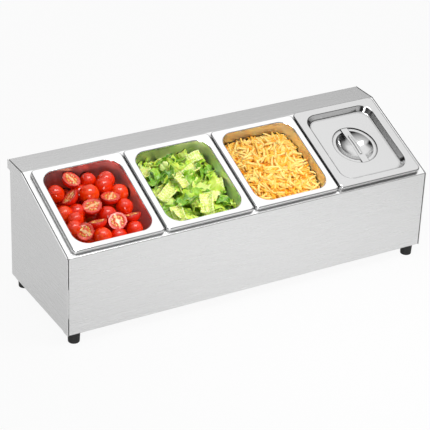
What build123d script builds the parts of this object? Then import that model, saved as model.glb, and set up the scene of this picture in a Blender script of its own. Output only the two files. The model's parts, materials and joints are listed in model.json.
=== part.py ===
from build123d import *
import os
from math import cos, hypot, radians, sin

os.makedirs("parts", exist_ok=True)

# Stand: a folded sheet steel rack, seen from the front with +X to the right
deck_side_margin = 12.2
deck_end_margin = 5.0
front_height = 141.0
deck_tilt = 22.5
ledge_depth = 54.0
rear_overhang = 8.0
rear_lip_height = 16.0
stand_gauge = 1.0
fold_radius = 2.0
side_bend_radius = 1.8
side_flange = 14.0
base_flange = 18.0
rear_flange = 20.0
rear_bend_radius = 3.0
relief_radius = 1.5
relief_height = 3.0
panel_gap = 0.3
cutter_reach = 4.0

# Pans: one-sixth size, 150 mm deep, with a turned-down lip
pan_count = 4
rim_width = 162.0
rim_length = 176.0
pan_depth = 150.0
lip_height = 8.0
pan_gap = 3.2
pan_gauge = 0.8
rim_corner_radius = 8.0
rim_edge_radius = 3.0
rim_side_width = 12.0
rim_end_width = 11.0
mouth_corner_radius = 24.0
mouth_edge_radius = 2.4
wall_inset = 11.0
base_corner_radius = 24.0
base_edge_radius = 15.0

# Cut-outs in the deck, and the bars between them
cutout_clearance = 1.5
cutout_corner_radius = 12.0
bar_width = 16.0
bar_height = 12.0
bar_end_margin = 8.0
bar_bend_radius = 1.8

# Lid: a pressed panel with a sunk floor, a round finger dish and a strap
lid_gauge = 0.9
lid_seat_gap = 0.2
lid_clearance = 0.4
lid_lip_height = 3.4
lid_edge_radius = 2.6
recess_side_margin = 14.0
recess_end_margin = 12.5
recess_depth = 10.0
recess_slope = 5.8
recess_corner_radius = 22.0
recess_edge_radius = 2.4
recess_floor_radius = 2.6
dish_radius = 41.0
dish_step = 1.6
bowl_radius = 34.0
bowl_depth = 16.0
strap_width = 13.0
strap_gauge = 1.2
strap_rise = 2.0
strap_end_gap = 0.8
bead_width = 4.4
bead_height = 1.0
bead_edge_radius = 0.8
bead_end_margin = 12.0
arch_steps = 8

# Feet, with the hardware that holds them
foot_height = 20.0
foot_top_radius = 10.5
foot_tip_radius = 9.5
foot_edge_radius = 1.2
foot_inset_x = 17.0
foot_inset_y = 13.0
foot_well_radius = 6.4
foot_well_depth = 9.0
screw_radius = 2.45
screw_hole_radius = 2.75
screw_head_radius = 4.6
screw_head_height = 3.2
screw_head_edge_radius = 1.3
screw_tail = 1.6
recess_slot_width = 1.1
recess_slot_length = 5.4
recess_slot_depth = 1.4
washer_radius = 6.0
washer_thickness = 1.0
nut_width = 8.0
nut_height = 4.0
nut_bore_radius = 2.5
plate_width = 46.0
plate_depth = 40.0
plate_thickness = 2.0
plate_chamfer = 18.0
plate_clearance = 1.4

# Blind rivets that hold the rear panel
rivets_per_side = 4
rivet_radius = 1.6
rivet_hole_clearance = 0.05
rivet_head_radius = 3.2
rivet_head_height = 1.1
rivet_dome_radius = 1.3
rivet_edge_height = 0.3
rivet_tail_radius = 2.3
rivet_tail_height = 2.2
rivet_end_margin = 24.0

# Places that follow from the sizes above; the front face is towards -Y
tilt = radians(deck_tilt)
pan_pitch = rim_width + pan_gap
stand_width = pan_count * pan_pitch - pan_gap + 2 * deck_side_margin
deck_length = rim_length + 2 * deck_end_margin
deck_run = deck_length * cos(tilt)
stand_depth = deck_run + ledge_depth
front_y = -stand_depth / 2
fold_y = front_y + deck_run
lip_y = stand_depth / 2
rear_y = lip_y - rear_overhang
base_z = foot_height
front_fold_z = base_z + front_height
top_z = front_fold_z + deck_length * sin(tilt)
lip_z = top_z - rear_lip_height
inner_x = stand_width / 2 - stand_gauge

mouth_width = rim_width - 2 * rim_side_width
mouth_length = rim_length - 2 * rim_end_width
recess_width = rim_width - 2 * recess_side_margin
recess_length = rim_length - 2 * recess_end_margin
shell_width = mouth_width + 2 * pan_gauge
shell_length = mouth_length + 2 * pan_gauge
cutout_width = shell_width + 2 * cutout_clearance
cutout_length = shell_length + 2 * cutout_clearance

deck = Plane(origin=(0, front_y, front_fold_z), x_dir=(1, 0, 0), z_dir=(0, -sin(tilt), cos(tilt)))
flush = 1e-6


def pan_x(index):
    """Centre of a pan across the stand, the first at the left."""
    return (index - (pan_count - 1) / 2) * pan_pitch


def on_deck(x, up_slope, height):
    """Frame parallel to the deck, at a place measured along it and square to it."""
    origin = deck.origin + deck.x_dir * x + deck.y_dir * up_slope + deck.z_dir * height
    return Plane(origin=origin, x_dir=deck.x_dir, z_dir=deck.z_dir)


def pan_plane(index):
    """Frame of a pan: origin in the middle of its rim's top, Z square to the deck."""
    return on_deck(pan_x(index), deck_length / 2, lip_height)


def across(face, start, thickness):
    """Extrudes a face drawn in the side view from x = start, towards +X."""
    return extrude(Plane.YZ.offset(start) * face, thickness)


def band(points, radius, width):
    """A folded strip in section: a filleted line, thickened to its right."""
    line = FilletPolyline(*points, radius=radius)
    return make_face(offset(line, amount=width, side=Side.RIGHT, closed=True).edges())


def rounded_tub(width, length, corner, top, bottom, inset, bottom_corner):
    """A drafted block between two rounded rectangles, wide end up."""
    upper = Plane.XY.offset(top) * RectangleRounded(width, length, corner)
    lower = Plane.XY.offset(bottom) * RectangleRounded(width - 2 * inset, length - 2 * inset, bottom_corner)
    return loft([upper, lower], ruled=True)


def post(radius, height):
    """A cylinder that stands on the origin."""
    return Cylinder(radius, height, align=(Align.CENTER, Align.CENTER, Align.MIN))


def lowest_edges(solid):
    return solid.faces().sort_by(Axis.Z)[0].edges()


def highest_edges(solid):
    return solid.faces().sort_by(Axis.Z)[-1].edges()


def save(solid, name):
    solid.label = name
    export_step(solid, f"parts/{name}.step")


def group(solids, name):
    save(Compound(children=solids), name)


# Body shell: front panel, sloping deck, ledge and rear lip folded from one sheet
def make_body_shell():
    fold_points = [(front_y, base_z), (front_y, front_fold_z), (fold_y, top_z), (lip_y, top_z)]
    skin_points = [(front_y + base_flange, base_z)] + fold_points + [(lip_y, lip_z)]
    bent_x = inner_x - side_bend_radius
    shell = across(band(skin_points, fold_radius, stand_gauge), -bent_x, 2 * bent_x)
    end_points = fold_points[:3] + [(rear_y - rear_flange, top_z)]
    end_flange = band(end_points, fold_radius, side_flange) - band(end_points, fold_radius, side_bend_radius)
    for start in (-inner_x, inner_x - stand_gauge):
        shell += across(end_flange, start, stand_gauge)
    bend = side_bend(end_points)
    shell += bend + mirror(bend, Plane.YZ)
    for index in range(pan_count):
        hole = RectangleRounded(cutout_width, cutout_length, cutout_corner_radius)
        below = on_deck(pan_x(index), deck_length / 2, -stand_gauge - cutter_reach)
        shell -= extrude(below * hole, stand_gauge + 2 * cutter_reach)
    return shell - foot_holes()


def side_bend(points):
    """The rounded bend between the skin and its right end flange, swept along the folds."""
    path = Plane.YZ * FilletPolyline(*points, radius=fold_radius)
    corner = Plane(origin=(inner_x, front_y, base_z), x_dir=(-1, 0, 0), z_dir=(0, 0, 1))
    ring = Circle(side_bend_radius) - Circle(side_bend_radius - stand_gauge)
    quarter = ring & Rectangle(side_bend_radius, side_bend_radius, align=Align.MAX)
    return sweep(corner * Pos(side_bend_radius, -side_bend_radius) * quarter, path)


def foot_spots():
    """Centres of the four feet: front left, front right, rear left, rear right."""
    x = stand_width / 2 - foot_inset_x
    return {
        "front_left": (-x, front_y + foot_inset_y),
        "front_right": (x, front_y + foot_inset_y),
        "rear_left": (-x, rear_y - foot_inset_y),
        "rear_right": (x, rear_y - foot_inset_y),
    }


def foot_holes():
    """Drills for the feet's screws, through every sheet and plate above a foot."""
    drill = Cylinder(screw_hole_radius, 2 * (stand_gauge + plate_thickness + cutter_reach))
    holes = [Pos(x, y, base_z) * drill for x, y in foot_spots().values()]
    return sum(holes[1:], holes[0])


# End panels: flat ends with a base flange and a rear flange, both turned inwards
def make_end_panel():
    """The right end panel, outer face at the stand's full width."""
    outline = [
        (front_y, base_z + fold_radius),
        (front_y, front_fold_z),
        (fold_y, top_z),
        (lip_y, top_z),
        (lip_y, lip_z),
        (rear_y - rear_bend_radius, lip_z),
        (rear_y - rear_bend_radius, base_z + fold_radius),
    ]
    plate = across(make_face(Polyline(*outline, close=True)), inner_x, stand_gauge)
    outer_x = inner_x + stand_gauge
    flange_x = outer_x - rear_flange
    base_start = front_y + base_flange + panel_gap
    base_length = rear_y - base_flange - panel_gap - base_start
    base_points = [(flange_x, base_z), (outer_x, base_z), (outer_x, base_z + fold_radius)]
    base_bend = corner_bend(base_points, fold_radius, Side.LEFT)
    plate += extrude(Plane.XZ.offset(-base_start) * base_bend, -base_length)
    rear_points = [(flange_x, rear_y), (outer_x, rear_y), (outer_x, rear_y - rear_bend_radius)]
    rear_bend = corner_bend(rear_points, rear_bend_radius, Side.RIGHT)
    rear_bottom = base_z + fold_radius
    plate += extrude(Plane.XY.offset(rear_bottom) * rear_bend, lip_z - panel_gap - rear_bottom)
    front_foot = Box(stand_gauge, base_flange, fold_radius, align=Align.MIN)
    plate += Pos(inner_x, front_y, base_z) * front_foot
    fold_relief = Box(cutter_reach, 2 * relief_radius, relief_radius)
    base_relief = Box(cutter_reach, 2 * relief_radius, 2 * relief_height)
    plate -= Pos(outer_x, front_y, front_fold_z) * fold_relief
    plate -= Pos(outer_x, base_start, base_z) * base_relief
    return plate - rivet_holes()


def corner_bend(points, radius, side):
    """Section of a flange and its bend, with a short straight tail on the wall."""
    (x0, y0), (x1, y1), (x2, y2) = points
    tail = 0.01
    grow = 1 + tail / hypot(x2 - x1, y2 - y1)
    end = (x1 + (x2 - x1) * grow, y1 + (y2 - y1) * grow)
    line = FilletPolyline((x0, y0), (x1, y1), end, radius=radius)
    return make_face(offset(line, amount=stand_gauge, side=side, closed=True).edges())


# Rear panel: closes the back, with a base flange and a top flange under the ledge
def make_rear_panel():
    half = inner_x - panel_gap
    shelf_half = inner_x - rear_flange
    top = top_z - stand_gauge
    outer_y = rear_y + stand_gauge
    inner_y = outer_y - base_flange
    points = [(inner_y, top), (outer_y, top), (outer_y, base_z), (inner_y, base_z)]
    panel = across(band(points, fold_radius, stand_gauge), -shelf_half, 2 * shelf_half)
    for start in (-half, shelf_half):
        panel += across(band(points[1:], fold_radius, stand_gauge), start, half - shelf_half)
    return panel - rivet_holes() - foot_holes()


# Blind rivets through the rear panel and the end panels' rear flanges
def rivet_spots():
    """Centres of the rivets on the rear panel's outer face."""
    x = inner_x + stand_gauge - rear_flange / 2
    low = base_z + rivet_end_margin
    step = (lip_z - rivet_end_margin - low) / (rivets_per_side - 1)
    return [(side * x, low + step * row) for side in (-1, 1) for row in range(rivets_per_side)]


def rivet_frame(x, z):
    """Frame on the rear panel's outer face, its Z pointing away from the stand."""
    return Plane(origin=(x, rear_y + stand_gauge, z), x_dir=(1, 0, 0), z_dir=(0, 1, 0))


def rivet_holes():
    radius = rivet_radius + rivet_hole_clearance
    drill = Cylinder(radius, 2 * (2 * stand_gauge + cutter_reach))
    holes = [rivet_frame(x, z) * drill for x, z in rivet_spots()]
    return sum(holes[1:], holes[0])


def make_rivet(x, z):
    """One blind rivet: a domed head outside, a shank, and a bulged tail inside."""
    grip = 2 * stand_gauge
    section = [
        (0, -grip - rivet_tail_height),
        (rivet_radius, -grip - rivet_tail_height),
        (rivet_tail_radius, -grip - rivet_tail_height / 2),
        (rivet_tail_radius, -grip),
        (rivet_radius, -grip),
        (rivet_radius, 0),
        (rivet_head_radius, 0),
        (rivet_head_radius, rivet_edge_height),
        (rivet_dome_radius, rivet_head_height),
        (0, rivet_head_height),
    ]
    return rivet_frame(x, z) * revolve(Plane.XZ * make_face(Polyline(*section, close=True)), Axis.Z)


# Divider bars: channels under the strips of the deck between the cut-outs
def make_divider_bar(index):
    half = bar_width / 2
    points = [(half, -bar_height), (half, 0), (-half, 0), (-half, -bar_height)]
    line = FilletPolyline(*points, radius=bar_bend_radius)
    section = make_face(offset(line, amount=stand_gauge, side=Side.LEFT, closed=True).edges())
    place = on_deck(pan_x(index) + pan_pitch / 2, bar_end_margin, -stand_gauge)
    return place * extrude(Plane.XZ * section, -(deck_length - 2 * bar_end_margin))


# Corner plates: bridge the base flanges over each foot
def make_corner_plate(x, y):
    wall_x = inner_x - stand_gauge - plate_clearance
    wall_y = front_y + stand_gauge + plate_clearance if y < 0 else rear_y - stand_gauge - plate_clearance
    side_x = 1 if x > 0 else -1
    side_y = 1 if y > 0 else -1
    outline = [
        (side_x * wall_x, wall_y),
        (side_x * (wall_x - plate_width), wall_y),
        (side_x * (wall_x - plate_width), wall_y - side_y * (plate_depth - plate_chamfer)),
        (side_x * (wall_x - plate_width + plate_chamfer), wall_y - side_y * plate_depth),
        (side_x * wall_x, wall_y - side_y * plate_depth),
    ]
    floor = Plane.XY.offset(base_z + stand_gauge)
    return extrude(floor * make_face(Polyline(*outline, close=True)), plate_thickness) - foot_holes()


# Feet: tapered rubber cups, each with a steel washer, a screw and a nut
def make_foot():
    cone = Cone(foot_tip_radius, foot_top_radius, foot_height, align=(Align.CENTER, Align.CENTER, Align.MIN))
    cone = fillet(lowest_edges(cone), foot_edge_radius)
    return cone - post(foot_well_radius, foot_well_depth) - post(screw_hole_radius, foot_height)


def make_washer():
    floor = foot_well_depth - washer_thickness
    ring = Circle(washer_radius) - Circle(screw_hole_radius)
    return extrude(Plane.XY.offset(floor) * ring, washer_thickness)


def make_screw():
    """A pan-head machine screw, head down in the foot's well, with a cross recess."""
    seat = foot_well_depth - washer_thickness
    end = foot_height + stand_gauge + plate_thickness + nut_height + screw_tail
    head = Pos(0, 0, seat - screw_head_height) * post(screw_head_radius, screw_head_height)
    head = fillet(lowest_edges(head), screw_head_edge_radius)
    shank = Pos(0, 0, seat) * post(screw_radius, end - seat)
    slot = Box(recess_slot_length, recess_slot_width, 2 * recess_slot_depth)
    cross = slot + Rot(0, 0, 90) * slot
    return head + shank - Pos(0, 0, seat - screw_head_height) * cross


def make_nut():
    floor = foot_height + stand_gauge + plate_thickness
    ring = RegularPolygon(nut_width / 2, 6, major_radius=False) - Circle(nut_bore_radius)
    return extrude(Plane.XY.offset(floor) * ring, nut_height)


# Pans: pressed tubs with a wide flat rim and a lip that stands on the deck
def make_pan():
    """A pan in its own frame: origin in the middle of the rim's top."""
    rim = rounded_slab(rim_width, rim_length, rim_corner_radius, -lip_height, 0, rim_edge_radius)
    under = rounded_slab(
        rim_width - 2 * pan_gauge,
        rim_length - 2 * pan_gauge,
        rim_corner_radius - pan_gauge,
        -lip_height,
        -pan_gauge,
        rim_edge_radius - pan_gauge,
    )
    tub = pan_well(pan_gauge)
    sheet = (rim - under) + tub
    sheet = fillet(brim_edges(sheet, -pan_gauge, mouth_width, mouth_length), mouth_edge_radius - pan_gauge)
    sheet = sheet - pan_well(0)
    return fillet(brim_edges(sheet, 0, mouth_width, mouth_length), mouth_edge_radius)


def brim_edges(sheet, level, width, length):
    """Edges at one level that run round an opening of this size, and not round the rim's lip."""
    reach_x = (width + rim_width) / 4
    reach_y = (length + rim_length) / 4
    middles = [(edge, edge @ 0.5) for edge in sheet.edges()]
    level_ones = [(edge, middle) for edge, middle in middles if abs(middle.Z - level) < flush]
    return [edge for edge, middle in level_ones if abs(middle.X) < reach_x and abs(middle.Y) < reach_y]


def pan_well(wall):
    """The well as a solid block: the inside of the pan, or its outside when a wall is given."""
    block = rounded_tub(
        mouth_width + 2 * wall,
        mouth_length + 2 * wall,
        mouth_corner_radius + wall,
        0,
        wall_base(wall),
        wall_inset,
        base_corner_radius + wall,
    )
    return fillet(lowest_edges(block), base_edge_radius + wall)


def wall_base(wall):
    """Level of the well's floor: outside at the pan's depth, inside one gauge above it."""
    return -pan_depth + pan_gauge - wall


def rounded_slab(width, length, corner, bottom, top, edge):
    """A slab with rounded corners and a rounded upper edge."""
    slab = extrude(Plane.XY.offset(bottom) * RectangleRounded(width, length, corner), top - bottom)
    return fillet(highest_edges(slab), edge)


# Lid: a pressed panel over the fourth pan, with a sunk floor and a round dish
def make_lid():
    """The lid in its pan's frame."""
    reach = 2 * (lid_clearance + lid_gauge)
    outer_top = lid_seat_gap + lid_gauge
    lip_base = outer_top - lid_lip_height
    cap = rounded_slab(
        rim_width + reach,
        rim_length + reach,
        rim_corner_radius + reach / 2,
        lip_base,
        outer_top,
        lid_edge_radius,
    )
    hollow = rounded_slab(
        rim_width + 2 * lid_clearance,
        rim_length + 2 * lid_clearance,
        rim_corner_radius + lid_clearance,
        lip_base,
        lid_seat_gap,
        lid_edge_radius - lid_gauge,
    )
    sheet = cap - hollow + lid_form(lid_gauge) - lid_form(0)
    return fillet(brim_edges(sheet, outer_top, recess_width, recess_length), recess_edge_radius)


def lid_form(wall):
    """Recess, dish ring and bowl as one block: their upper faces, or their lower ones with a wall."""
    top = lid_seat_gap + lid_gauge
    floor = top - recess_depth
    tub = rounded_tub(
        recess_width + 2 * wall,
        recess_length + 2 * wall,
        recess_corner_radius + wall,
        top,
        floor - wall,
        recess_slope,
        recess_corner_radius - recess_slope / 2 + wall,
    )
    tub = fillet(lowest_edges(tub), recess_floor_radius + wall)
    ring_floor = floor - dish_step
    ring = Pos(0, 0, ring_floor - wall) * post(dish_radius + wall, dish_step + wall)
    sphere_radius = hypot(bowl_radius, bowl_depth) ** 2 / (2 * bowl_depth)
    sphere = Pos(0, 0, ring_floor - bowl_depth + sphere_radius) * Sphere(sphere_radius + wall)
    bowl_base = ring_floor - bowl_depth - wall
    return tub + ring + (sphere & Pos(0, 0, bowl_base) * post(dish_radius, ring_floor - bowl_base))


# Handle: a strap across the dish, with a pressed bead along its middle
def make_handle():
    """The strap in the lid's pan frame, its ends on the dish's ring."""
    seat = lid_seat_gap + lid_gauge - recess_depth - dish_step
    reach = dish_radius - strap_end_gap
    strap = arched_cut(Rectangle(strap_width, 2 * reach) & Circle(reach), seat, strap_gauge)
    bead_length = 2 * (bowl_radius - bead_end_margin)
    bead = arched_cut(Rot(0, 0, 90) * SlotOverall(bead_length, bead_width), seat, strap_gauge + bead_height)
    return strap + fillet(highest_edges(bead), bead_edge_radius)


def arched_cut(outline, seat, thickness):
    """An outline cut from a sheet that is flat on the dish's ring and arched over the bowl."""
    ys = [bowl_radius * (2 * step / arch_steps - 1) for step in range(arch_steps + 1)]
    level = ((1, 0), (1, 0))
    lower = Spline(*[(y, seat + arch_rise(y)) for y in ys], tangents=level)
    upper = Spline(*[(y, seat + thickness + arch_rise(y)) for y in ys], tangents=level)
    edges = Curve() + [lower, upper]
    for start, stop in ((-dish_radius, -bowl_radius), (bowl_radius, dish_radius)):
        edges += [Line((start, z), (stop, z)) for z in (seat, seat + thickness)]
    edges += [Line((y, seat), (y, seat + thickness)) for y in (-dish_radius, dish_radius)]
    sheet = across(make_face(edges), -strap_width / 2, strap_width)
    return sheet & extrude(Plane.XY.offset(seat) * outline, thickness + strap_rise)


def arch_rise(y):
    """Rise of the arch over the bowl, one wave of a cosine between its edges."""
    return strap_rise * (1 + cos(radians(180) * y / bowl_radius)) / 2


save(make_body_shell(), "body_shell")

end_panel = make_end_panel()
save(end_panel, "right_end_panel")
save(mirror(end_panel, Plane.YZ), "left_end_panel")
save(make_rear_panel(), "rear_panel")
group([make_rivet(x, z) for x, z in rivet_spots()], "rear_rivets")

for index in range(pan_count - 1):
    save(make_divider_bar(index), f"divider_bar_{index + 1}")

for name, (x, y) in foot_spots().items():
    save(make_corner_plate(x, y), f"corner_plate_{name}")
    save(Pos(x, y, 0) * make_foot(), f"foot_{name}")
for name, make in (("foot_washers", make_washer), ("foot_screws", make_screw), ("foot_nuts", make_nut)):
    group([Pos(x, y, 0) * make() for x, y in foot_spots().values()], name)

pan = make_pan()
for index in range(pan_count):
    save(pan_plane(index) * pan, f"pan_{index + 1}")
save(pan_plane(pan_count - 1) * make_lid(), "lid")
save(pan_plane(pan_count - 1) * make_handle(), "lid_handle")
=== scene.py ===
import json

import bmesh
import bpy
import numpy as np
from mathutils import Matrix, Vector


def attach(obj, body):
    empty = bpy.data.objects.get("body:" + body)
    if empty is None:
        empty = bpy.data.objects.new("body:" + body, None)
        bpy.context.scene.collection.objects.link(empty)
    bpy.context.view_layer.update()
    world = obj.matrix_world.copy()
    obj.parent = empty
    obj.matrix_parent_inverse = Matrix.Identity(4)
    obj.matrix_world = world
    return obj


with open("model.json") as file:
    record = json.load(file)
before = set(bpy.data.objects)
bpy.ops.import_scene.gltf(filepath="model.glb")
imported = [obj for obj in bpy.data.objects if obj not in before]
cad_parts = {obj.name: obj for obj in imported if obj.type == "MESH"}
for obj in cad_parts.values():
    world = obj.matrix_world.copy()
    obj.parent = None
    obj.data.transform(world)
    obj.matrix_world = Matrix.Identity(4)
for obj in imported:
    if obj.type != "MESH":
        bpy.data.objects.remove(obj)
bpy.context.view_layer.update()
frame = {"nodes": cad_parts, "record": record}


# Body shell: front, sloping deck, ledge and rear lip folded from one sheet of stainless steel.
# It is brushed along its length before folding, so its grain runs along X on every face.
def linear(code):
    """Linear RGBA of an sRGB hex colour: each channel's curve undone, alpha 1."""
    srgb = np.array([int(code[i:i + 2], 16) / 255 for i in (1, 3, 5)])
    channels = np.where(srgb <= 0.04045, srgb / 12.92, ((srgb + 0.055) / 1.055) ** 2.4)
    return (*channels.tolist(), 1.0)


def add_node(tree, kind, inputs=(), stops=(), **settings):
    """A node with its settings. An input given a socket is linked, any other is set.

    The stops of a colour ramp are pairs of a place and a hex colour.
    """
    node = tree.nodes.new("ShaderNode" + kind)
    for name, value in settings.items():
        setattr(node, name, value)
    for name, value in dict(inputs).items():
        if isinstance(value, bpy.types.NodeSocket):
            tree.links.new(value, node.inputs[name])
        else:
            node.inputs[name].default_value = value
    if stops:
        points = node.color_ramp.elements
        points.remove(points[1])
        points[0].position, points[0].color = stops[0][0], linear(stops[0][1])
        for place, code in stops[1:]:
            points.new(place).color = linear(code)
    return node


def surface(name, shader_inputs):
    """An empty material with its Principled shader joined to the output, and its tree."""
    material = bpy.data.materials.new(name)
    material.use_nodes = True
    material.node_tree.nodes.clear()
    shader = add_node(material.node_tree, "BsdfPrincipled", shader_inputs)
    add_node(material.node_tree, "OutputMaterial", {"Surface": shader.outputs[0]})
    return material, material.node_tree, shader


def painted_crevice_shade(tree, shader, unshaded_colour, dark, reach, open_from=0.74):
    """Painted shade: metal's colour darkens within a short reach of an inner corner, where shade falls.

    The share of open sky over that reach sets the colour: unshaded_colour at open_from and above,
    darker in step with the share below it, and darkest at dark_span less. At 0.74 only tight gaps darken.
    """
    dark_span = 0.32
    openness = add_node(tree, "AmbientOcclusion", {"Distance": reach}, samples=6).outputs["AO"]
    open_share = add_node(tree, "MapRange", {"Value": openness, "From Min": open_from - dark_span})
    open_share.inputs["From Max"].default_value = open_from
    mixed = add_node(tree, "Mix", {"Factor": open_share.outputs[0]}, data_type="RGBA")
    mixed.inputs["A"].default_value, mixed.inputs["B"].default_value = linear(dark), linear(unshaded_colour)
    tree.links.new(mixed.outputs["Result"], shader.inputs["Base Color"])


def brushed_steel(name, grain, colour, roughness, reach=5e-3, open_from=0.74):
    """Sheet steel brushed along one axis: long fine scratches change its roughness and its relief.

    The scratches are noise stretched along the grain. Real ones are near 0.05 mm wide, and they
    are drawn 0.35 mm wide so that they show.
    """
    material, tree, shader = surface(name, {"Base Color": linear(colour), "Metallic": 1.0})
    streak_length, streak_width, streak_depth = 60e-3, 0.35e-3, 0.1e-3
    swing = 0.03
    scale = [1 / streak_width] * 3
    scale[grain] = 1 / streak_length
    place = add_node(tree, "TexCoord").outputs["Object"]
    stretched = add_node(tree, "Mapping", {"Vector": place, "Scale": scale}).outputs[0]
    streaks = add_node(tree, "TexNoise", {"Vector": stretched, "Scale": 1.0, "Detail": 4.0, "Roughness": 0.6})
    rough = add_node(tree, "MapRange", {"Value": streaks.outputs["Fac"], "From Min": 0.3, "From Max": 0.7})
    rough.inputs["To Min"].default_value = roughness - swing
    rough.inputs["To Max"].default_value = roughness + swing
    relief = add_node(tree, "Bump", {"Height": streaks.outputs["Fac"], "Strength": 0.05})
    relief.inputs["Distance"].default_value = streak_depth
    tree.links.new(rough.outputs[0], shader.inputs["Roughness"])
    tree.links.new(relief.outputs[0], shader.inputs["Normal"])
    # Painted shade: the colour darkens towards #2A2A2A in inner corners and gaps.
    painted_crevice_shade(tree, shader, colour, "#2A2A2A", reach, open_from)
    return material


def dress(material, *names):
    """Gives the CAD nodes of these names one material in every slot."""
    for name in names:
        for slot in frame["nodes"][name].material_slots:
            slot.material = material


dress(brushed_steel("brushed_stainless_sheet", 0, "#EAEAEA", 0.26), "body_shell", "rear_panel")

# End panels: flat ends cut from the same brushed stainless sheet, with their edges turned inwards.
# The grain runs from front to back, and shows as faint level streaks.
# Their colour is painted a little paler than the shell's, as painted light.
dress(brushed_steel("brushed_stainless_ends", 1, "#EFEFEF", 0.26), "left_end_panel", "right_end_panel")

# Divider bars, corner plates and fasteners: galvanised or zinc plated steel, matt and grey, with
# the flat crystal patches, 6 to 10 mm across, that hot zinc leaves as it sets.
zinc_colour = "#A9ABAD"
galvanised, tree, shader = surface("galvanised_steel", {"Base Color": linear(zinc_colour), "Metallic": 1.0})
patch_size = 8e-3
place = add_node(tree, "TexCoord").outputs["Object"]
patches = add_node(tree, "TexVoronoi", {"Vector": place, "Scale": 1 / patch_size})
patch_tone = add_node(tree, "SeparateColor", {0: patches.outputs["Color"]}).outputs[0]
zinc_tones = [(0.0, "#96999C"), (0.5, zinc_colour), (1.0, "#BCBEC0")]
zinc = add_node(tree, "ValToRGB", {"Fac": patch_tone}, zinc_tones)
smooth_patch, rough_patch = 0.36, 0.52
zinc_rough = add_node(tree, "MapRange", {"Value": patch_tone, "To Min": smooth_patch})
zinc_rough.inputs["To Max"].default_value = rough_patch
tree.links.new(zinc.outputs[0], shader.inputs["Base Color"])
tree.links.new(zinc_rough.outputs[0], shader.inputs["Roughness"])
corners = ["front_left", "front_right", "rear_left", "rear_right"]
dress(galvanised, "divider_bar_1", "divider_bar_2", "divider_bar_3")
dress(galvanised, *[f"corner_plate_{corner}" for corner in corners])
dress(galvanised, "rear_rivets", "foot_washers", "foot_screws", "foot_nuts")

# Feet: black moulded rubber. The mould's spark-eroded skin leaves a matt grain of about 0.4 mm,
# and handling leaves paler, drier patches.
rubber, tree, shader = surface("black_rubber", {"Roughness": 0.6})
grain_size, grain_depth, bloom_size = 0.4e-3, 0.1e-3, 6e-3
place = add_node(tree, "TexCoord").outputs["Object"]
grain = add_node(tree, "TexNoise", {"Vector": place, "Scale": 1 / grain_size, "Detail": 2.0})
bloom = add_node(tree, "TexNoise", {"Vector": place, "Scale": 1 / bloom_size, "Detail": 3.0})
black = add_node(tree, "ValToRGB", {"Fac": bloom.outputs["Fac"]}, [(0.35, "#0F0F0F"), (0.7, "#1F1F1F")])
relief = add_node(tree, "Bump", {"Height": grain.outputs["Fac"], "Strength": 0.3, "Distance": grain_depth})
tree.links.new(black.outputs[0], shader.inputs["Base Color"])
tree.links.new(relief.outputs[0], shader.inputs["Normal"])
dress(rubber, *[f"foot_{corner}" for corner in corners])

# Pans: deep-drawn stainless steel. The rim is polished bright, and the wall of the well keeps the
# satin finish and the faint upright marks that the punch leaves on it.
rim_height = 8e-3
well_half = np.array([69.0, 77.0])
well_corner, well_depth = 22.0, 150.0
well_draft = 11 / well_depth


def pan_frame(number):
    """Middle of a pan's rim, in metres, and its axes as rows: across, up the slope, out of the deck."""
    seat = next(m for m in frame["record"]["mounts"] if m["name"] == f"pan_seat_{number}")
    out, across = np.array(seat["axis"]), np.array([1.0, 0.0, 0.0])
    return np.array(seat["pos_m"]) + rim_height * out, np.array([across, np.cross(out, across), out])


rim_middle, pan_axes = pan_frame(1)
outward = pan_axes[2]
rim_level = float(np.dot(outward, rim_middle))
satin_below, bright_above = rim_level - 4e-3, rim_level - 1e-3
satin_rough, bright_rough = 0.42, 0.07
mark_width, mark_length, mark_swing = 1.5e-3, 60e-3, 0.03
pan_steel, tree, shader = surface("drawn_pan_steel", {"Metallic": 1.0})
place = add_node(tree, "TexCoord").outputs["Object"]
along_axis = add_node(tree, "VectorMath", {0: place, 1: outward.tolist()}, operation="DOT_PRODUCT")
finish = add_node(tree, "MapRange", {"Value": along_axis.outputs["Value"], "From Min": satin_below})
finish.inputs["From Max"].default_value = bright_above
finish.inputs["To Min"].default_value = satin_rough
finish.inputs["To Max"].default_value = bright_rough
mark_scale = (1 / mark_width, 1 / mark_width, 1 / mark_length)
marks = add_node(tree, "Mapping", {"Vector": place, "Scale": mark_scale})
mark = add_node(tree, "TexNoise", {"Vector": marks.outputs[0], "Scale": 1.0, "Detail": 3.0})
rough = add_node(tree, "MapRange", {"Value": mark.outputs["Fac"], "To Min": -mark_swing})
rough.inputs["To Max"].default_value = mark_swing
rough = add_node(tree, "Math", {0: rough.outputs[0], 1: finish.outputs[0]}, operation="ADD")
tree.links.new(rough.outputs[0], shader.inputs["Roughness"])
# Painted shade: the colour goes near black in the tight gaps round rims and lips, drawing dark lines.
painted_crevice_shade(tree, shader, unshaded_colour="#EAEAEA", dark="#101010", reach=4e-3)
dress(pan_steel, "pan_1", "pan_2", "pan_3", "pan_4")


# Cherry tomatoes in the first pan, whole and halved, in loose layers over a packed lump. The skin
# is thin, tight and waxy: a deep red that is a little clear, with hard small highlights. Food is
# worked out in its pan's own millimetres, with the rim's top at height 0.
def inside_well(points, gap):
    """Draws points back inside the well, by a gap: beyond a corner's centre, to the corner's radius.

    The well's half widths shrink with depth by its draft.
    """
    half = well_half + well_draft * points[..., 2:3] - gap
    core = half - well_corner
    flat = points[..., :2]
    beyond = np.maximum(np.abs(flat) - core, 0)
    reach = np.linalg.norm(beyond, axis=-1, keepdims=True)
    beyond = beyond * np.minimum(1, well_corner / np.maximum(reach, 1e-9))
    held = np.sign(flat) * (np.minimum(np.abs(flat), core) + beyond)
    return np.concatenate([held, points[..., 2:3]], -1)


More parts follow.
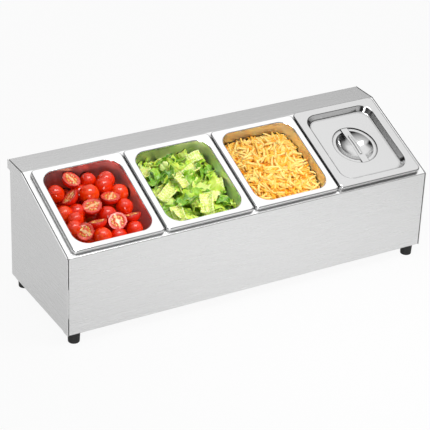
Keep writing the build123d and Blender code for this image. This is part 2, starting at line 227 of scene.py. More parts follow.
def turned(towards, twist):
    """Rotations whose third axis points the given ways, turned about it by twist: rows of (n, 3).

    The first axis starts square to the third and to a slanted line, the second square to those two
    axes. Both then turn by the twist's cosine and sine.
    """
    slanted = np.array([0.31, 0.93, 0.17])
    towards = np.asarray(towards, float) / np.linalg.norm(towards, axis=-1, keepdims=True)
    side = np.cross(towards, slanted)
    side /= np.linalg.norm(side, axis=-1, keepdims=True)
    other = np.cross(towards, side)
    cosine, sine = np.cos(twist)[:, None], np.sin(twist)[:, None]
    return np.stack([cosine * side + sine * other, cosine * other - sine * side, towards], -1)


def set_down(shape, turns, places, scale=1.0):
    """Copies of a shape, or one shape each, scaled, turned and set at their places in the pan."""
    shapes = np.broadcast_to(shape, (len(places), *shape.shape[-3:]))
    scale = np.broadcast_to(scale, len(places))[:, None, None, None]
    return np.einsum("nij,nrcj->nrci", turns, shapes) * scale + places[:, None, None, :]


def fill_pan(number, name, grids, own, tone, material, closed):
    """A piece of many like grids, shaped (count, rows, columns, 3) in a pan's own millimetres.

    Each cell of a grid becomes a quad, and closed grids join their last column to their first. Each
    point's place on its own shape and its tone are kept as attributes for the material.
    """
    weld_distance = 2e-6
    count, rows, columns = grids.shape[:3]
    cells_across = columns if closed else columns - 1
    row, column = np.meshgrid(np.arange(rows - 1), np.arange(cells_across), indexing="ij")
    after = (column + 1) % columns
    cell = [row * columns + column, row * columns + after]
    cell += [(row + 1) * columns + after, (row + 1) * columns + column]
    first = (np.arange(count) * rows * columns)[:, None, None]
    faces = (np.stack(cell, -1).reshape(1, -1, 4) + first).reshape(-1, 4)
    middle, axes = pan_frame(number)
    places = middle + grids.reshape(-1, 3) / 1000 @ axes
    mesh = bpy.data.meshes.new(name)
    mesh.from_pydata(places.tolist(), [], faces.tolist())
    own_places = mesh.attributes.new("own_place", "FLOAT_VECTOR", "POINT")
    own_places.data.foreach_set("vector", np.broadcast_to(own, grids.shape).astype(np.float32).ravel())
    tones = np.broadcast_to(tone[:, None, None], grids.shape[:3]).astype(np.float32)
    mesh.attributes.new("tone", "FLOAT", "POINT").data.foreach_set("value", tones.ravel())
    work = bmesh.new()
    work.from_mesh(mesh)
    bmesh.ops.remove_doubles(work, verts=work.verts, dist=weld_distance)
    bmesh.ops.recalc_face_normals(work, faces=work.faces)
    work.to_mesh(mesh)
    work.free()
    mesh.shade_smooth()
    mesh.materials.append(material)
    piece = bpy.data.objects.new(name, mesh)
    bpy.context.scene.collection.objects.link(piece)
    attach(piece, f"pan_{number}")
    return piece


def heap_bottom(number, name, top, crown, material):
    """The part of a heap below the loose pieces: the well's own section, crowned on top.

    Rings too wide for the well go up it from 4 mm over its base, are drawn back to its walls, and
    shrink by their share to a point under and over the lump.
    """
    base, too_wide, wall_gap = 4.0 - well_depth, 130.0, 2.0
    share = np.array([0.0, 0.75, 1.0, 1.0, 1.0, 0.92, 0.6, 0.3, 0.0])
    height = np.array([base, base, -130, -100, top - 12, top, top + 0.7 * crown, top + crown, top + crown])
    turn = np.linspace(0, 2 * np.pi, 48, endpoint=False)
    circle = too_wide * np.stack([np.cos(turn), np.sin(turn)], -1)
    rings = np.concatenate([
        np.broadcast_to(circle, (len(share), *circle.shape)),
        np.broadcast_to(height[:, None, None], (len(share), len(turn), 1)),
    ], -1)
    rings = inside_well(rings, wall_gap) * np.stack([share, share, np.ones(len(share))], -1)[:, None, :]
    fill_pan(number, name, rings[None], rings[None], np.array([0.5]), material, True)


random = np.random.default_rng(7)
whole_top = np.array([
    (14, 60, -24), (43, 53, -23), (31, 38, -17), (-50, 47, -22), (0, 27, -16), (52, 20, -21), (47, -10, -20),
    (-31, 3, -24), (-54, 5, -24), (-42, -14, -20), (-50, -30, -21), (14, -17, -22), (-14, -58, -19),
    (44, -59, -20), (-8, 46, -31), (15, -63, -26),
], float)
# The lower layers stand on a lattice, each tomato a little off its place.
spacing_across, spacing_along, scatter = 24.65, 27.55, 4.0
lattice_middle, depths = (4, 6), (-50.0, -76.0)
lines = np.arange(-2, 3)
lattice = np.stack(np.meshgrid(lines * spacing_across, lines * spacing_along), -1).reshape(-1, 2)
layers = [np.column_stack([lattice + lattice_middle, np.full(len(lattice), depth)]) for depth in depths]
below = np.concatenate(layers) + random.uniform(-scatter, scatter, (len(depths) * len(lattice), 3))
whole_places = np.concatenate([whole_top, below])
small_radius, usual_radius, biggest_radius = 13.8, 15.4, 16.5
radii = random.uniform(small_radius, usual_radius, len(whole_places))
biggest = 4
radii[biggest] = biggest_radius
tomato_gap = 0.5
whole_places = inside_well(whole_places, radii[:, None] + tomato_gap)


def tomato_shape(rows, columns):
    """A unit tomato: a sphere a little shorter than wide, dimpled at its stem end, with faint ribs.

    Its width is the sine of the angle from the stem, its height the cosine. The dimple and the five
    ribs are bell curves that fade with that angle.
    """
    rib_count, rib_depth, rib_fade = 5, 0.012, 0.9
    shortness, dimple_depth, dimple_width = 0.95, 0.12, 0.22
    from_stem = np.linspace(0, np.pi, rows)[:, None]
    around = np.linspace(0, 2 * np.pi, columns, endpoint=False)[None, :]
    ribs = rib_depth * np.cos(rib_count * around) * np.exp(-(from_stem / rib_fade) ** 2)
    width = np.sin(from_stem) * (1 + ribs)
    height = shortness * np.cos(from_stem) - dimple_depth * np.exp(-(from_stem / dimple_width) ** 2)
    height = height * np.ones_like(around)
    return np.stack([width * np.cos(around), width * np.sin(around), height], -1)


# Patterns are drawn on a tomato of radius 1, at their size on one of the usual radius.
mottle_size, least_ripe = 7.0, 0.2
skin, tree, shader = surface("tomato_skin", {"Roughness": 0.13, "Specular IOR Level": 0.5})
shader.inputs["Subsurface Weight"].default_value = 0.15
shader.inputs["Subsurface Scale"].default_value = 2e-3
tone = add_node(tree, "Attribute", attribute_name="tone").outputs["Fac"]
own = add_node(tree, "Attribute", attribute_name="own_place").outputs["Vector"]
mottle = add_node(tree, "TexNoise", {"Vector": own, "Scale": usual_radius / mottle_size, "Detail": 2.0})
ripeness = add_node(tree, "Math", {0: mottle.outputs["Fac"], 1: tone}, operation="MULTIPLY_ADD")
ripeness.inputs[2].default_value = least_ripe
reds = [(0.2, "#DE2000"), (0.6, "#F23600"), (0.9, "#FF5604")]
red = add_node(tree, "ValToRGB", {"Fac": ripeness.outputs[0]}, reds)
stem_end = add_node(tree, "SeparateXYZ", {0: own}).outputs[2]
scar = add_node(tree, "MapRange", {"Value": stem_end, "From Min": 0.78, "From Max": 0.82})
scarred = add_node(tree, "Mix", {"Factor": scar.outputs[0], "A": red.outputs[0]}, data_type="RGBA")
scarred.inputs["B"].default_value = linear("#B2521F")
tree.links.new(scarred.outputs["Result"], shader.inputs["Base Color"])

# The stem ends of the upper ones point down, to the back and to the right.
whole = tomato_shape(20, 26)
stem_ways = random.normal(size=(len(whole_places), 3))
stem_ways[:len(whole_top)] = np.abs(stem_ways[:len(whole_top)]) * (1, 1, -1) + (0.8, 0.6, 0.0)
turns = turned(stem_ways, random.uniform(0, 6, len(whole_places)))
tones = random.uniform(0, 1, len(radii))
fill_pan(1, "cherry_tomatoes", set_down(whole, turns, whole_places, radii), whole, tones, skin, True)
heap_bottom(1, "lower_tomatoes", top=-86.0, crown=6.0, material=skin)

# Halved tomatoes: a pale fleshy wall, two pockets of orange gel with a ring of seeds, and a paler
# core. The cut is wet, so it shines more than the skin.
half_places = np.array([
    (-18, 61, -9), (-9, -1, -9), (18, -41, -10), (-36, 29, -13), (-41, -46, -12),
    (47, -33, -12), (-13, -31, -12), (29, 10, -10),
], float)
half_faces = np.array([
    (0.24, 0.0, 0.97), (-0.23, 0.13, 0.96), (-0.30, -0.16, 0.94), (-0.63, 0.50, 0.58), (-0.45, -0.45, 0.77),
    (-0.05, 0.73, 0.69), (-0.05, 0.70, 0.71), (0.0, 0.36, 0.93),
])
half_radii = np.array([16.0, 16.0, 15.6, 15.4, 14.4, 15.4, 15.4, 15.8])
half_places = inside_well(half_places, half_radii[:, None] + tomato_gap)
# A unit half is skin below the first of these heights, and cut flesh above the second.
skin_level, cut_level = -0.11, -0.08


def half_shape(rows, columns):
    """A unit half tomato: a bowl below the cut, then the cut face, sunk a little at its pockets.

    The pockets are a bell curve of the distance from the middle, and the septum, the wall that
    parts them, is one across the line y = 0.
    """
    bowl_depth, face_reach, septum_width = 0.92, 0.985, 0.10
    pocket_middle, pocket_width, pocket_depth = 0.55, 0.17, 0.07
    bowl = np.linspace(np.pi, np.pi / 2, rows)
    share = np.linspace(1, 0, rows)[1:]
    pocket = np.exp(-((share - pocket_middle) / pocket_width) ** 2)
    around, width = np.meshgrid(
        np.linspace(0, 2 * np.pi, columns, endpoint=False), np.concatenate([np.sin(bowl), share * face_reach])
    )
    height = np.concatenate([bowl_depth * np.cos(bowl), -pocket_depth * pocket])[:, None] * np.ones(columns)
    septum = np.exp(-(width * np.sin(around) / septum_width) ** 2) * (height > cut_level)
    return np.stack([width * np.cos(around), width * np.sin(around), height * (1 - septum)], -1)


waver_size, waver_swing, fleck_size = 3.85, 0.22, 1.1
flesh, tree, shader = surface("cut_tomato", {"Roughness": 0.2})
shader.inputs["Subsurface Weight"].default_value = 0.1
shader.inputs["Subsurface Scale"].default_value = 2e-3
own = add_node(tree, "Attribute", attribute_name="own_place").outputs["Vector"]
parts = add_node(tree, "SeparateXYZ", {0: own})
flat = add_node(tree, "CombineXYZ", {0: parts.outputs[0], 1: parts.outputs[1]})
radius = add_node(tree, "VectorMath", {0: flat.outputs[0]}, operation="LENGTH").outputs["Value"]
waver = add_node(tree, "TexNoise", {"Vector": own, "Scale": usual_radius / waver_size, "Detail": 3.0})
wavy = add_node(tree, "Math", {0: waver.outputs["Fac"], 1: waver_swing, 2: radius}, operation="MULTIPLY_ADD")
shifted = add_node(tree, "Math", {0: wavy.outputs[0], 1: waver_swing / 2}, operation="SUBTRACT")
rings = add_node(tree, "ValToRGB", {"Fac": shifted.outputs[0]}, [
    (0.0, "#FCE8B8"), (0.16, "#F8B878"), (0.28, "#E8521E"), (0.45, "#E0420E"), (0.62, "#DC3410"),
    (0.70, "#E24A30"), (0.84, "#E85440"), (0.92, "#DC2412"), (0.99, "#B40A02"),
])
sideways = add_node(tree, "Math", {0: parts.outputs[1]}, operation="ABSOLUTE")
septum = add_node(tree, "MapRange", {"Value": sideways.outputs[0], "From Min": 0.14, "From Max": 0.04})
inside = add_node(tree, "MapRange", {"Value": radius, "From Min": 0.86, "From Max": 0.74})
across = add_node(tree, "Math", {0: septum.outputs[0], 1: inside.outputs[0]}, operation="MULTIPLY")
face = add_node(tree, "Mix", {"Factor": across.outputs[0], "A": rings.outputs[0]}, data_type="RGBA")
face.inputs["B"].default_value = linear("#FAC890")
fleck = add_node(tree, "TexNoise", {"Vector": own, "Scale": usual_radius / fleck_size, "Detail": 2.0})
flecks = add_node(tree, "MapRange", {"Value": fleck.outputs["Fac"], "From Min": 0.62, "From Max": 0.74})
flecked = add_node(tree, "Mix", {"Factor": flecks.outputs[0], "A": face.outputs["Result"]}, data_type="RGBA")
flecked.inputs["B"].default_value = linear("#FAD9A8")
cut = add_node(tree, "MapRange", {"Value": parts.outputs[2], "From Min": skin_level, "From Max": cut_level})
dressed = add_node(tree, "Mix", {"Factor": cut.outputs[0], "B": flecked.outputs["Result"]}, data_type="RGBA")
dressed.inputs["A"].default_value = linear("#E02006")
tree.links.new(dressed.outputs["Result"], shader.inputs["Base Color"])

half = half_shape(14, 40)
half_turns = turned(half_faces, np.array([2.2, 0.4, 1.9, 0.9, 2.6, 0.2, 0.5, 1.2]))
tones = random.uniform(0, 1, len(half_radii))
grids = set_down(half, half_turns, half_places, half_radii)
fill_pan(1, "tomato_halves", grids, half, tones, flesh, True)

# Tomato seeds: flat pale teardrops in a ring on each cut face, half sunk in the gel of its pockets.
# A seed is an ellipsoid, broader at one end, and its coat is wet and smooth.
seeds_each, seed_ring, ring_scatter, angle_scatter = 13, 0.52, 0.08, 0.15
spread = (len(half_radii), seeds_each)
seed_angle = np.linspace(0, 2 * np.pi, seeds_each, endpoint=False)
seed_angle = seed_angle + random.uniform(-angle_scatter, angle_scatter, spread)
seed_reach = seed_ring + random.uniform(-ring_scatter, ring_scatter, spread)
seed_long, seed_wide, seed_thick = 0.13, 0.075, 0.05
along = np.linspace(0, np.pi, 7)[:, None]
around = np.linspace(0, 2 * np.pi, 8, endpoint=False)[None, :]
teardrop = np.stack([
    seed_long * np.cos(along) * np.ones_like(around),
    seed_wide * np.sin(along) * np.cos(around) * (1.25 - 0.5 * along / np.pi),
    seed_thick * np.sin(along) * np.sin(around),
], -1)
cosine, sine = np.cos(seed_angle).ravel(), np.sin(seed_angle).ravel()
spin = np.zeros((cosine.size, 3, 3))
spin[:, 0, 0], spin[:, 0, 1], spin[:, 1, 0], spin[:, 1, 1], spin[:, 2, 2] = cosine, -sine, sine, cosine, 1
reach, seed_level = seed_reach.ravel(), -0.045
seed_spots = np.stack([reach * cosine, reach * sine, np.full(reach.size, seed_level)], -1)
on_face = set_down(teardrop, spin, seed_spots)
owner = np.repeat(np.arange(len(half_radii)), seeds_each)
seed_coat, tree, shader = surface("tomato_seed", {"Roughness": 0.25})
tone = add_node(tree, "Attribute", attribute_name="tone").outputs["Fac"]
pale = add_node(tree, "ValToRGB", {"Fac": tone}, [(0.0, "#E0A030"), (0.5, "#F2C85A"), (1.0, "#FAE6A0")])
tree.links.new(pale.outputs[0], shader.inputs["Base Color"])
grids = set_down(on_face, half_turns[owner], half_places[owner], half_radii[owner])
fill_pan(1, "tomato_seeds", grids, on_face, random.uniform(0, 1, len(owner)), seed_coat, True)

# Chopped romaine in the second pan: green blades, blistered and curled at their cut edges, thrown
# in loosely, darker where they come from the outside of the head.
leaf_along, leaf_across = np.meshgrid(np.linspace(-1, 1, 17), np.linspace(-1, 1, 13), indexing="ij")
heap_low, heap_crown, past_wall = -31.0, 25.0, 4.0


def heap_height(spots):
    """Height of the heap's surface over each spot: a crown that falls away to the walls.

    It is the low level plus the crown's height, times one less the square of each share of the
    way from the middle to a little past a wall.
    """
    share = spots / (well_half + past_wall)
    return heap_low + heap_crown * (1 - share[:, 0] ** 2) * (1 - share[:, 1] ** 2)


def leaf_blades(count):
    """Chopped blades: wavy rectangles, rolled across, bowed along, ruffled towards their edges.

    Width and length are stretched by sines of each other. The height adds a ruffle that grows
    with the square of the way to the edge, a roll and a bow by squares, small blisters as a
    product of sines, and a midrib pressed in as a bell curve.
    """
    pick = random.uniform
    shape = (count, 1, 1)
    phase = pick(0, 6.3, (6, *shape))
    length, width = pick(22, 36, shape), pick(14, 26, shape)
    broad = 1 + 0.16 * np.sin(2.4 * leaf_along + phase[0]) + 0.06 * np.sin(9 * leaf_along + phase[1])
    long = 1 + 0.12 * np.sin(2.6 * leaf_across + phase[2])
    x = leaf_across * width / 2 * broad
    y = leaf_along * length / 2 * long + np.sin(7 * leaf_across + phase[5])
    ruffle = pick(1.5, 4.0, shape) * np.abs(leaf_across) ** 2 * np.sin(6 * leaf_along + phase[3])
    roll = pick(-7, 7, shape) * leaf_across ** 2 + pick(-5, 5, shape) * leaf_along ** 2
    blister = 0.45 * np.sin(x * 0.75 + phase[4]) * np.sin(y * 0.65 + phase[0])
    midrib = -1.2 * np.exp(-(x / 1.8) ** 2)
    return np.stack([x, y, ruffle + roll + blister + midrib], -1)


leaf_green, tree, shader = surface("romaine_blade", {"Roughness": 0.38})
shader.inputs["Subsurface Weight"].default_value = 0.2
shader.inputs["Subsurface Scale"].default_value = 0.3e-3
own = add_node(tree, "Attribute", attribute_name="own_place").outputs["Vector"]
tone = add_node(tree, "Attribute", attribute_name="tone").outputs["Fac"]
green = [(0.0, "#E8F4A0"), (0.3, "#CDE64C"), (0.55, "#A9D426"), (0.8, "#74AE0A"), (1.0, "#437C04")]
parts = add_node(tree, "SeparateXYZ", {0: own})
fade = add_node(tree, "Math", {0: parts.outputs[1], 1: 0.006, 2: tone}, operation="MULTIPLY_ADD")
blotch_size, net_size = 8.333, 6.0
mottle = add_node(tree, "TexNoise", {"Vector": own, "Scale": 1 / blotch_size, "Detail": 3.0}).outputs["Fac"]
shade = add_node(tree, "Math", {0: mottle, 1: 0.3, 2: fade.outputs[0]}, operation="MULTIPLY_ADD")
shade = add_node(tree, "Math", {0: shade.outputs[0], 1: 0.15}, operation="SUBTRACT")
blade_colour = add_node(tree, "ValToRGB", {"Fac": shade.outputs[0]}, green).outputs[0]
aside = add_node(tree, "Math", {0: parts.outputs[0]}, operation="ABSOLUTE").outputs[0]
midrib = add_node(tree, "MapRange", {"Value": aside, "From Min": 1.8, "From Max": 0.6, "To Max": 0.4})
net = add_node(tree, "TexVoronoi", {"Vector": own, "Scale": 1 / net_size}, feature="DISTANCE_TO_EDGE")
vein = add_node(tree, "MapRange", {"Value": net.outputs["Distance"], "From Min": 0.08, "From Max": 0.0})
vein.inputs["To Max"].default_value = 0.35
pale = add_node(tree, "Math", {0: midrib.outputs[0], 1: vein.outputs[0]}, operation="MAXIMUM").outputs[0]
leaf_colour = add_node(tree, "Mix", {"Factor": pale, "A": blade_colour}, data_type="RGBA")
leaf_colour.inputs["B"].default_value = linear("#DDEB94")
tree.links.new(leaf_colour.outputs["Result"], shader.inputs["Base Color"])

top_columns, top_rows, under_leaves = 7, 8, 60
leaf_inset, leaf_scatter, leaf_tilt, leaf_gap, dark_tone = 9.0, 6.0, 0.6, 1.2, 0.9
top_spots = np.stack(np.meshgrid(np.linspace(-57, 56, top_columns), np.linspace(-66, 61, top_rows)), -1)
top_spots = top_spots.reshape(-1, 2)
top_spots = top_spots + random.uniform(-leaf_scatter, leaf_scatter, (top_columns * top_rows, 2))
under_spots = random.uniform(-1, 1, (under_leaves, 2)) * (well_half - leaf_inset)
dark_spots = np.array([(5, 47), (-42, 26), (-17, -37), (49, -45), (57, 21), (-8, 57)], float)
spots = np.concatenate([under_spots, top_spots, dark_spots])
sink = np.concatenate([
    random.uniform(8, 20, under_leaves), random.uniform(-1, 6, len(top_spots)), np.zeros(len(dark_spots)),
])
leaf_places = np.column_stack([spots, heap_height(spots) - sink])
lean = np.column_stack([random.normal(0, leaf_tilt, (len(spots), 2)), np.ones(len(spots))])
blades = leaf_blades(len(spots))
turns = turned(lean, random.uniform(0, 6.3, len(spots)))
grids = inside_well(set_down(blades, turns, leaf_places), leaf_gap)
tones = random.beta(1.5, 2.1, len(spots) - len(dark_spots))
tones = np.concatenate([tones, np.full(len(dark_spots), dark_tone)])
romaine = fill_pan(2, "romaine_blades", grids, blades, tones, leaf_green, False)
blade_wall = romaine.modifiers.new("blade_thickness", "SOLIDIFY")
blade_wall.thickness, blade_wall.offset = 0.5e-3, 0
heap_bottom(2, "lower_romaine", top=-56.0, crown=14.0, material=leaf_green)

# Romaine ribs: thick pale pieces of the leaf's stalk, curved like a gutter, with fine ridges
# across. They are crisp and full of water, so light goes a little way in.
rib_spots = np.array([
    (16, 21), (14, -45), (-12, 5), (43, 56), (-42, -10), (-52, 52), (54, -11), (-40, -50),
], float)
rib_angles = np.radians([30, 70, 102, 2, 32, 61, 75, 86])
rib_size = np.array([(20, 32), (22, 38), (15, 30), (19, 26), (20, 34), (18, 24), (17, 27), (20, 30)], float)
ridge_pitch, ridge_height, rib_waver_size, rib_waver = 4.8, 0.12, 4.0, 14.0
rib_lift, rib_tilt, tilt_spread, rib_gap = 2.5, -0.15, 0.18, 1.5
x = leaf_across * rib_size[:, 0, None, None] / 2 * (1 + 0.05 * np.sin(4 * leaf_along))
y = leaf_along * rib_size[:, 1, None, None] / 2
ridges = ridge_height * np.cos(2 * np.pi * y / ridge_pitch)
gutter = 4.5 * leaf_across ** 2 - 1.5 * leaf_along ** 2 + ridges
ribs = np.stack([x, y, gutter], -1)
rib_places = np.column_stack([rib_spots, heap_height(rib_spots) + rib_lift])
rib_slants = random.normal(rib_tilt, tilt_spread, (len(rib_spots), 2))
rib_lean = np.column_stack([rib_slants, np.ones(len(rib_spots))])
# With no twist a rib's length is 108.4 degrees short of the pan's width, so that much is added.
rib_twists = rib_angles + np.radians(108.4)
grids = inside_well(set_down(ribs, turned(rib_lean, rib_twists), rib_places), rib_gap)
rib_pale, tree, shader = surface("romaine_rib", {"Roughness": 0.3})
shader.inputs["Subsurface Weight"].default_value = 0.3
shader.inputs["Subsurface Scale"].default_value = 0.6e-3
own = add_node(tree, "Attribute", attribute_name="own_place").outputs["Vector"]
parts = add_node(tree, "SeparateXYZ", {0: own})
waver = add_node(tree, "TexNoise", {"Vector": own, "Scale": 1 / rib_waver_size, "Detail": 2.0}).outputs["Fac"]
bent = add_node(tree, "Math", {0: waver, 1: rib_waver, 2: parts.outputs[1]}, operation="MULTIPLY_ADD")
turn = add_node(tree, "Math", {0: bent.outputs[0], 1: 2 * np.pi / ridge_pitch}, operation="MULTIPLY")
wave = add_node(tree, "Math", {0: turn.outputs[0]}, operation="SINE")
stripe = add_node(tree, "MapRange", {"Value": wave.outputs[0], "From Min": -1.0, "From Max": 1.0})
rib_tones = [(0.0, "#C8DC44"), (0.45, "#DAE67C"), (1.0, "#ECF1B0")]
rib_colour = add_node(tree, "ValToRGB", {"Fac": stripe.outputs[0]}, rib_tones)
tree.links.new(rib_colour.outputs[0], shader.inputs["Base Color"])
rib_piece = fill_pan(2, "romaine_ribs", grids, ribs, random.uniform(0, 1, len(ribs)), rib_pale, False)
rib_wall = rib_piece.modifiers.new("rib_thickness", "SOLIDIFY")
rib_wall.thickness, rib_wall.offset = 2.0e-3, 0

# Shredded cheese in the third pan: strands cut by a grater, a little bent, with painted light that
# makes the top strands paler and painted shade that makes deeper ones more orange. Milk fat scatters
# light just under the surface, so their edges are soft and warm.
strands, steps, crumb_size = 900, 6, 2.0
strand_inset, strand_tilt, strand_gap = 4.0, 0.2, 1.5
along = np.linspace(-1, 1, steps)[None, :]
length = random.uniform(9, 19, (strands, 1))
bend = random.uniform(-3.5, 3.5, (strands, 1))
lift = random.uniform(-1.5, 1.5, (strands, 1))
line = np.stack([along * length, bend * along ** 2, lift * along ** 2], -1)
corner = np.array([(-1.8, -1.3), (1.8, -1.3), (1.8, 1.3), (-1.8, 1.3)])
taper = (1 - 0.4 * along ** 4)[..., None, None] * random.uniform(0.85, 1.2, (strands, 1, 1, 1))
section = corner * taper
strand = line[:, :, None, :] + np.concatenate([np.zeros((*section.shape[:3], 1)), section], -1)
strand = np.concatenate([line[:, :1, None].repeat(4, 2), strand, line[:, -1:, None].repeat(4, 2)], 1)
spots = random.uniform(-1, 1, (strands, 2)) * (well_half - strand_inset)
strand_depth = random.uniform(-3, 5, strands)
strand_places = np.column_stack([spots, heap_height(spots) - strand_depth])
lean = np.column_stack([random.normal(0, strand_tilt, (strands, 2)), np.ones(strands)])
turns = turned(lean, random.uniform(0, 6.3, strands))
grids = inside_well(set_down(strand, turns, strand_places), strand_gap)
cheese, tree, shader = surface("shredded_cheese", {"Roughness": 0.6, "Specular IOR Level": 0.2})
shader.inputs["Subsurface Weight"].default_value = 0.4
shader.inputs["Subsurface Radius"].default_value = (1.0, 0.7, 0.4)
shader.inputs["Subsurface Scale"].default_value = 1e-3
tone = add_node(tree, "Attribute", attribute_name="tone").outputs["Fac"]
own = add_node(tree, "Attribute", attribute_name="own_place").outputs["Vector"]
crumb = add_node(tree, "TexNoise", {"Vector": own, "Scale": 1 / crumb_size, "Detail": 3.0})
shade = add_node(tree, "Math", {0: crumb.outputs["Fac"], 1: 0.2, 2: tone}, operation="MULTIPLY_ADD")
cheese_colour = add_node(tree, "ValToRGB", {"Fac": shade.outputs[0]}, [
    (0.15, "#FF9412"), (0.4, "#FFA626"), (0.65, "#FFB63C"), (0.9, "#FFC960"), (1.0, "#FFD982"),
])
tree.links.new(cheese_colour.outputs[0], shader.inputs["Base Color"])
# Painted light and shade: paler the nearer a strand lies to the heap's top, with a random spread.
painted_light_and_tone = np.clip(0.7 - 0.1 * strand_depth + random.uniform(-0.25, 0.25, strands), 0, 1)
fill_pan(3, "shredded_cheese", grids, strand, painted_light_and_tone, cheese, True)
heap_bottom(3, "lower_cheese", top=-37.0, crown=26.0, material=cheese)

# Lid and strap: a pressed stainless cover with a satin top, and a strap spot welded over its dish.
# Painted shade darkens the shallow corners round its sunk floor and its dish too, and draws dark lines.
lid_steel = brushed_steel("satin_lid_steel", 0, "#CBCBCB", 0.13, reach=4e-3, open_from=0.99)
dress(lid_steel, "lid", "lid_handle")

# Studio: a plain pale floor under a soft white sky, soft lamps above and in front, and a round wall
# that only the metal sees. The wall is dark low down, as a room is round a lit table, and white high
# up. The dark stands higher behind the stand, at both sides, where the edges of rims and lid see it.
floor_reach = 8.0
floor_corners = [(-floor_reach, -floor_reach, 0), (floor_reach, -floor_reach, 0)]
floor_corners += [(floor_reach, floor_reach, 0), (-floor_reach, floor_reach, 0)]
floor_mesh = bpy.data.meshes.new("floor")
floor_mesh.from_pydata(floor_corners, [], [(0, 1, 2, 3)])
floor = bpy.data.objects.new("floor", floor_mesh)
bpy.context.scene.collection.objects.link(floor)
floor_paint, tree, shader = surface("pale_floor", {"Base Color": linear("#CBCBCB"), "Roughness": 0.95})
shader.inputs["Specular IOR Level"].default_value = 0.0
ray = add_node(tree, "LightPath").outputs
seen_share, mirrored_share = 0.93, 0.4
mirrored = add_node(tree, "Math", {0: ray["Is Glossy Ray"], 1: mirrored_share}, operation="MULTIPLY")
white = add_node(tree, "Math", {0: ray["Is Camera Ray"], 1: seen_share}, operation="MULTIPLY_ADD")
tree.links.new(mirrored.outputs[0], white.inputs[2])
glow = add_node(tree, "Emission", {"Color": (1, 1, 1, 1), "Strength": 1.0})
mix = add_node(tree, "MixShader", {0: white.outputs[0], 1: shader.outputs[0], 2: glow.outputs[0]})
output = next(n for n in tree.nodes if n.type == "OUTPUT_MATERIAL")
tree.links.new(mix.outputs[0], output.inputs["Surface"])
floor_mesh.materials.append(floor_paint)


def studio_card(name, points, faces):
    """A card that only mirrors see. Its paint is empty, and the caller gives it an emission."""
    mesh = bpy.data.meshes.new(name)
    mesh.from_pydata(points, [], faces)
    card = bpy.data.objects.new(name, mesh)
    bpy.context.scene.collection.objects.link(card)
    card.visible_camera = card.visible_diffuse = card.visible_shadow = False
    paint = bpy.data.materials.new(name)
    paint.use_nodes = True
    paint.node_tree.nodes.clear()
    mesh.materials.append(paint)
    return paint.node_tree


wall_radius, wall_height, wall_steps = 5.0, 9.0, 64
turn, height = np.meshgrid(np.linspace(0, 2 * np.pi, wall_steps + 1), [0.0, wall_height])
ring = np.stack([wall_radius * np.cos(turn), wall_radius * np.sin(turn), height], -1)
step = np.arange(wall_steps)
wall_faces = np.stack([step, step + 1, step + wall_steps + 2, step + wall_steps + 1], -1)
tree = studio_card("studio_wall", ring.reshape(-1, 3).tolist(), wall_faces.tolist())
place = add_node(tree, "SeparateXYZ", {0: add_node(tree, "TexCoord").outputs["Object"]})
across, ahead, upwards = place.outputs
low = add_node(tree, "MapRange", {"Value": ahead, "From Max": wall_radius, "To Min": 1.1, "To Max": 0.0})
left = add_node(tree, "MapRange", {"Value": across, "From Max": -wall_radius, "To Max": 4.6}).outputs[0]
right = add_node(tree, "MapRange", {"Value": across, "From Min": 3.6, "From Max": 4.4, "To Max": 1.3})
sides = add_node(tree, "Math", {0: left, 1: right.outputs[0]}, operation="ADD").outputs[0]
behind = add_node(tree, "MapRange", {"Value": ahead, "From Min": 0.2, "From Max": 1.4}).outputs[0]
rise = add_node(tree, "Math", {0: sides, 1: behind, 2: low.outputs[0]}, operation="MULTIPLY_ADD")
level = add_node(tree, "Math", {0: upwards, 1: rise.outputs[0]}, operation="SUBTRACT")
share = add_node(tree, "Math", {0: level.outputs[0], 1: wall_height}, operation="DIVIDE")
fade = add_node(tree, "ValToRGB", {"Fac": share.outputs[0]}, [
    (0.06, "#060606"), (0.14, "#949494"), (0.29, "#D4D4D4"), (0.55, "#FFFFFF"),
])
glow = add_node(tree, "Emission", {"Color": fade.outputs[0], "Strength": 1.0})
add_node(tree, "OutputMaterial", {"Surface": glow.outputs[0]})

# A pale card stands before the wall's dark part, behind the stand on the left.
card_corners = [(-2.75, 0.75, 0.45), (-2.15, 2.05, 0.45), (-2.15, 2.05, 1.25), (-2.75, 0.75, 1.25)]
tree = studio_card("left_card", card_corners, [(0, 1, 2, 3)])
glow = add_node(tree, "Emission", {"Color": linear("#DCDCDC"), "Strength": 1.0})
add_node(tree, "OutputMaterial", {"Surface": glow.outputs[0]})

world = bpy.data.worlds.new("studio")
bpy.context.scene.world = world
world.use_nodes = True
tree = world.node_tree
tree.nodes.clear()
ray = add_node(tree, "LightPath").outputs
seen = add_node(tree, "Math", {0: ray["Is Camera Ray"], 1: ray["Is Glossy Ray"]}, operation="MAXIMUM")
seen = add_node(tree, "Math", {0: seen.outputs[0], 1: ray["Is Transmission Ray"]}, operation="MAXIMUM")
strength = add_node(tree, "MapRange", {"Value": seen.outputs[0], "To Min": 0.62, "To Max": 1.0})
sky = add_node(tree, "Background", {"Color": (1, 1, 1, 1), "Strength": strength.outputs[0]})
add_node(tree, "OutputWorld", {"Surface": sky.outputs[0]})


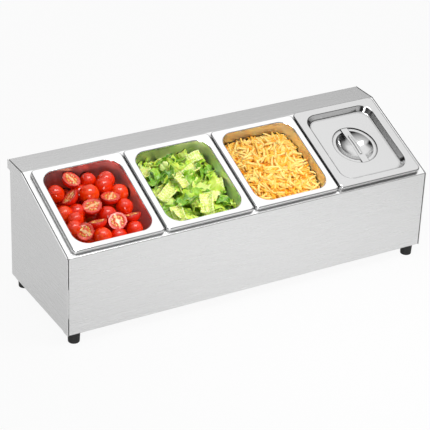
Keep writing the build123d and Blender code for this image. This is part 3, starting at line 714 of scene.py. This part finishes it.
def softbox(name, place, towards, width, depth, radiance):
    """An area lamp at a place, facing a point. A face of this radiance gives pi times that per area."""
    lamp = bpy.data.lights.new(name, "AREA")
    lamp.shape, lamp.size, lamp.size_y = "RECTANGLE", width, depth
    lamp.energy = np.pi * width * depth * radiance
    box = bpy.data.objects.new(name, lamp)
    aim = Vector(towards) - Vector(place)
    box.matrix_world = Matrix.Translation(place) @ aim.to_track_quat("-Z", "Y").to_matrix().to_4x4()
    bpy.context.scene.collection.objects.link(box)
    return box


softbox("overhead", (0.8, 0.7, 2.2), (0.8, 0.7, 0), 3.4, 3.0, 0.25)
softbox("strip", (-0.2, -0.5, 1.85), (-0.1, 0, 0), 1.2, 0.45, 12.0).visible_diffuse = False
softbox("front_lamp", (-1.2, -2.0, 0.3), (0, 0, 0.15), 0.7, 0.7, 12.0).visible_diffuse = False
key = softbox("key", (0.1, -0.4, 0.65), (0.1, -0.3, 0), 0.4, 0.3, 9.0)
key.visible_glossy = key.visible_camera = False

# Camera: at the photograph's place, found by fitting the stand's corners and the pans' rims. It
# sees its target from an azimuth, an elevation and a distance, and is rolled a little.
azimuth, elevation, roll = np.radians([-30.860, 28.436, 2.415])
distance = 2.76840
target = np.array([-0.078951, -0.112921, 0.177476])
level_share = np.cos(elevation)
back = np.array([np.sin(azimuth) * level_share, -np.cos(azimuth) * level_share, np.sin(elevation)])
right = np.cross([0, 0, 1], back)
right /= np.linalg.norm(right)
up = np.cross(back, right)
tilted_right = np.cos(roll) * right + np.sin(roll) * up
tilted_up = np.cos(roll) * up - np.sin(roll) * right
camera_data = bpy.data.cameras.new("camera")
camera_data.sensor_fit = "HORIZONTAL"
camera_data.sensor_width = 36.0
camera_data.lens = 144.12
camera = bpy.data.objects.new("camera", camera_data)
bpy.context.scene.collection.objects.link(camera)
pose = np.eye(4)
pose[:3, 0], pose[:3, 1], pose[:3, 2], pose[:3, 3] = tilted_right, tilted_up, back, target + distance * back
camera.matrix_world = Matrix(pose.tolist())
bpy.context.scene.camera = camera
bpy.context.scene.view_settings.view_transform = "Standard"
